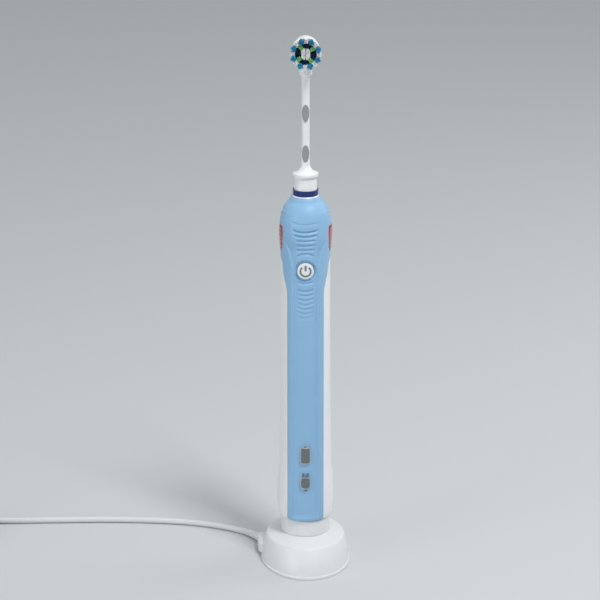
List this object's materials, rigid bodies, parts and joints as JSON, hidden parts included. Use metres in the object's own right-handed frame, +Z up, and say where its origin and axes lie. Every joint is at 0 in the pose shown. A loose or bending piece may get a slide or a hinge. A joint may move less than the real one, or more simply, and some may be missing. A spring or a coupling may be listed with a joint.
{
  "type": "electric toothbrush on charger",
  "caption": "Oscillating electric toothbrush with a round brush head, standing on an oval inductive charger with a mains cord and two-pin plug.",
  "frame": {"origin": "on the table under the charger's stud, on the axis of the handle, at the flat underside of the base cover", "axes": "+Z up along the handle, -Y the side of the button and the bristles, -X the side where the cord leaves"},
  "size_m": [0.2504, 0.1047, 0.2694],
  "materials": {
    "white_abs": "glossy moulded",
    "blue_soft_touch": "satin soft-touch elastomer",
    "button_white": "glossy moulded",
    "smoked_window": "glossy smoked polycarbonate",
    "red_window": "translucent moulded",
    "navy_plastic": "glossy moulded",
    "grey_print": "satin",
    "inner_plastic": "satin moulded",
    "steel": "ground",
    "bronze": "sintered bronze",
    "copper_winding": "enamelled wire",
    "ferrite": "sintered, dull",
    "circuit_board": "solder mask",
    "black_rubber": "matt",
    "component_black": "moulded",
    "battery_sleeve": "printed sleeve",
    "motor_steel": "plated",
    "gear_nylon": "moulded",
    "cord_pvc": "matt",
    "bristle_blue": "nylon filament",
    "bristle_white": "nylon filament",
    "bristle_green": "nylon filament",
    "bristle_navy": "nylon filament"
  },
  "bodies": {
    "charger": {"charger_housing": "white_abs", "base_cover": "white_abs", "charger_board": "circuit_board", "filter_capacitor": "component_black", "drive_transistor": "component_black", "ferrite_core": "ferrite", "primary_bobbin": "inner_plastic", "primary_coil": "copper_winding", "cord_boot": "cord_pvc", "cord_lead": "cord_pvc", "cord_tail": "cord_pvc", "cord_coil": "cord_pvc", "coil_tie": "black_rubber", "plug_body": "white_abs", "plug_boot": "cord_pvc", "plug_pins": "steel"},
    "handle": {"rear_housing": "white_abs", "front_grip": "blue_soft_touch", "battery_window": "smoked_window", "plug_window": "smoked_window", "pressure_light_left": "red_window", "pressure_light_right": "red_window", "neck_cap": "white_abs", "shaft_seal": "black_rubber", "bottom_cap": "white_abs", "cap_seal": "black_rubber", "chassis": "inner_plastic", "pickup_bobbin": "inner_plastic", "pickup_coil": "copper_winding", "battery_cell": "battery_sleeve", "battery_contacts": "steel", "circuit_board": "circuit_board", "tact_switch": "component_black", "battery_led": "component_black", "charge_led": "component_black", "controller_chip": "component_black", "motor_can": "motor_steel", "gear_axle": "steel", "shaft_bush_lower": "bronze", "shaft_bush_upper": "bronze"},
    "button": {"button_cap": "button_white"},
    "drive": {"drive_shaft": "steel", "rocker_fork": "steel"},
    "rotor": {"rotor_shaft": "steel", "pinion": "bronze"},
    "gear": {"crank_gear": "gear_nylon", "crank_pin": "steel"},
    "brush": {"brush_stem": "white_abs", "colour_ring": "navy_plastic", "stem_pad_lower": "grey_print", "stem_pad_upper": "grey_print", "head_pin": "steel"},
    "link": {"link_socket": "gear_nylon", "link_rod": "steel"},
    "head": {"head_disc": "white_abs", "tufts_outer_blue": "bristle_blue", "tufts_outer_white": "bristle_white", "tufts_inner_green": "bristle_green", "tufts_inner_navy": "bristle_navy", "tufts_centre": "bristle_white"}
  },
  "joints": [
    {"name": "handle_lift", "type": "slide", "parent": "charger", "child": "handle", "axis": [0, 0, 1], "range_m": [0, 0.03]},
    {"name": "button_press", "type": "slide", "parent": "handle", "child": "button", "axis": [0, 1, 0], "range_m": [0, 0.0007], "stiffness_N_per_m": 1200},
    {"name": "shaft_swing", "type": "hinge", "parent": "handle", "child": "drive", "pos_m": [0, 0, 0.17], "axis": [0, 0, 1], "range_deg": [-14.5, 14.5]},
    {"name": "rotor_spin", "type": "hinge", "parent": "handle", "child": "rotor", "pos_m": [0, -0.002, 0.13], "axis": [0, 0, 1], "continuous": true},
    {"name": "gear_spin", "type": "hinge", "parent": "handle", "child": "gear", "pos_m": [0, 0.004, 0.142], "axis": [0, 0, 1], "continuous": true},
    {"name": "brush_pull", "type": "slide", "parent": "handle", "child": "brush", "axis": [0, 0, 1], "range_m": [0, 0.03]},
    {"name": "link_swing", "type": "hinge", "parent": "brush", "child": "link", "pos_m": [0, 0, 0.22], "axis": [0, 0, 1], "range_deg": [-14.6, 14.6]},
    {"name": "head_swing", "type": "hinge", "parent": "brush", "child": "head", "pos_m": [0, -0.003, 0.2626], "axis": [0, -1, 0], "range_deg": [-22.6, 22.6]}
  ],
  "couplings": [
    {"joint": "rotor_spin", "follows": "gear_spin", "ratio": -2.3333},
    {"joint": "link_swing", "follows": "shaft_swing", "ratio": 1},
    {"joint": "head_swing", "follows": "shaft_swing", "ratio": 1.5517}
  ]
}
